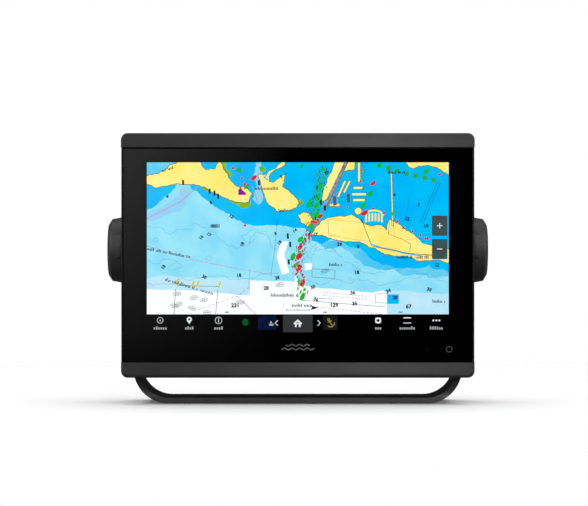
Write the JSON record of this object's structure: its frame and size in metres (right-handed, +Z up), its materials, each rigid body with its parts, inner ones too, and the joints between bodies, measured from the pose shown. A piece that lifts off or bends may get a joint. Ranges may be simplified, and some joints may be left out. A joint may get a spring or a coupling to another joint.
{
  "type": "chartplotter display",
  "caption": "Marine chartplotter display with a wide touchscreen, tilting on a bail bracket with clamp knobs and a card door.",
  "frame": {"origin": "centre of the four base holes on the bail's underside, straight below the tilt axis", "axes": "+Z up, screen faces -Y, tilt axis along X at 102.2 mm up"},
  "size_m": [0.254, 0.062, 0.1792],
  "materials": {
    "bail_paint": "black powder-coated aluminium, fine texture, satin",
    "knob_nylon": "black glass-filled nylon, fine moulded texture",
    "trim_plastic": "charcoal moulded polycarbonate, fine spark texture, satin",
    "bezel_alloy": "black painted die-cast alloy, satin",
    "housing_plastic": "black moulded polycarbonate, matt texture",
    "cover_glass": "clear chemically strengthened glass, polished, anti-glare coating",
    "black_ink": "black printed border and adhesive film behind the glass",
    "screen": "colour liquid crystal display, showing a made-up sea chart",
    "sensor_film": "clear touch sensor laminate",
    "backlight": "white diffuser and reflector",
    "foam": "closed-cell foam, black",
    "silicone": "dark grey silicone rubber",
    "fin_alloy": "black anodised aluminium, satin",
    "board": "green solder-masked glass-fibre board",
    "components": "black moulded electronic components",
    "tin": "tinned steel",
    "stainless": "A4 stainless steel",
    "brass": "plain machined brass",
    "contact_gold": "gold-plated contacts",
    "connector_nylon": "black glass-filled nylon, satin",
    "ceramic": "unglazed antenna ceramic",
    "flex_film": "amber polyimide ribbon",
    "lead_jacket": "dark grey coaxial lead jacket",
    "light_guide": "clear acrylic",
    "label_film": "silver-grey polyester label",
    "vent_plastic": "dark grey polypropylene"
  },
  "bodies": {
    "bail": {"bail_bracket": "bail_paint"},
    "pivot_discs": {"left_pivot_disc": "connector_nylon", "right_pivot_disc": "connector_nylon"},
    "display": {"antenna_leads": "lead_jacket", "backbone_connector": "connector_nylon", "backlight": "backlight", "beeper": "components", "board_screws": "stainless", "card_door_pin": "stainless", "card_reader": "components", "connector_nuts": "connector_nylon", "connector_seals": "silicone", "contact_pins": "contact_gold", "cover_glass": "cover_glass", "display_flex": "flex_film", "flex_socket": "components", "foam_frame": "foam", "front_bezel": "bezel_alloy", "glass_border": "black_ink", "gnss_antenna": "ceramic", "heat_sink": "fin_alloy", "heat_sink_gasket": "silicone", "heat_sink_screws": "stainless", "housing_gasket": "silicone", "housing_screws": "stainless", "key_board": "board", "key_flex": "flex_film", "key_light_guide": "light_guide", "lcd_panel": "screen", "left_threaded_insert": "brass", "light_sensor": "components", "main_board": "board", "network_connector_left": "connector_nylon", "network_connector_right": "connector_nylon", "power_components": "components", "power_connector": "connector_nylon", "pressure_vent": "vent_plastic", "processor_shield": "tin", "rating_label": "label_film", "rear_housing": "housing_plastic", "right_threaded_insert": "brass", "sonar_connector": "connector_nylon", "thermal_pad": "silicone", "touch_panel": "sensor_film", "video_connector": "tin", "wireless_antenna": "board"},
    "left_washer": {"left_knob_washer": "connector_nylon"},
    "right_washer": {"right_knob_washer": "connector_nylon"},
    "left_knob": {"left_knob": "knob_nylon", "left_knob_stud": "stainless"},
    "right_knob": {"right_knob": "knob_nylon", "right_knob_stud": "stainless"},
    "top_trim": {"top_trim": "trim_plastic"},
    "bottom_trim": {"bottom_trim": "trim_plastic"},
    "card_door": {"card_door": "housing_plastic", "card_door_seal": "silicone"}
  },
  "joints": [
    {"name": "lift_off", "type": "slide", "parent": "bail", "child": "pivot_discs", "axis": [0, 0, 1], "range_m": [0, 0.1]},
    {"name": "tilt", "type": "hinge", "parent": "pivot_discs", "child": "display", "pos_m": [0, 0, 0.1022], "axis": [-1, 0, 0], "range_deg": [-5, 60]},
    {"name": "left_knob_travel", "type": "slide", "parent": "display", "child": "left_washer", "axis": [-1, 0, 0], "range_m": [0, 0.0101]},
    {"name": "left_knob_turn", "type": "hinge", "parent": "left_washer", "child": "left_knob", "pos_m": [-0.11, 0, 0.1022], "axis": [-1, 0, 0], "range_deg": [0, 2880]},
    {"name": "right_knob_travel", "type": "slide", "parent": "display", "child": "right_washer", "axis": [1, 0, 0], "range_m": [0, 0.0101]},
    {"name": "right_knob_turn", "type": "hinge", "parent": "right_washer", "child": "right_knob", "pos_m": [0.11, 0, 0.1022], "axis": [1, 0, 0], "range_deg": [0, 2880]},
    {"name": "top_trim_snap_off", "type": "slide", "parent": "display", "child": "top_trim", "axis": [0, -1, 0], "range_m": [0, 0.015]},
    {"name": "bottom_trim_snap_off", "type": "slide", "parent": "display", "child": "bottom_trim", "axis": [0, -1, 0], "range_m": [0, 0.015]},
    {"name": "card_door_swing", "type": "hinge", "parent": "display", "child": "card_door", "pos_m": [0.065, 0.0038, 0.0399], "axis": [-1, 0, 0], "range_deg": [0, 115]}
  ],
  "couplings": [
    {"joint": "left_knob_travel", "follows": "left_knob_turn", "m_per_rad": 0.00019894},
    {"joint": "right_knob_travel", "follows": "right_knob_turn", "m_per_rad": 0.00019894}
  ]
}
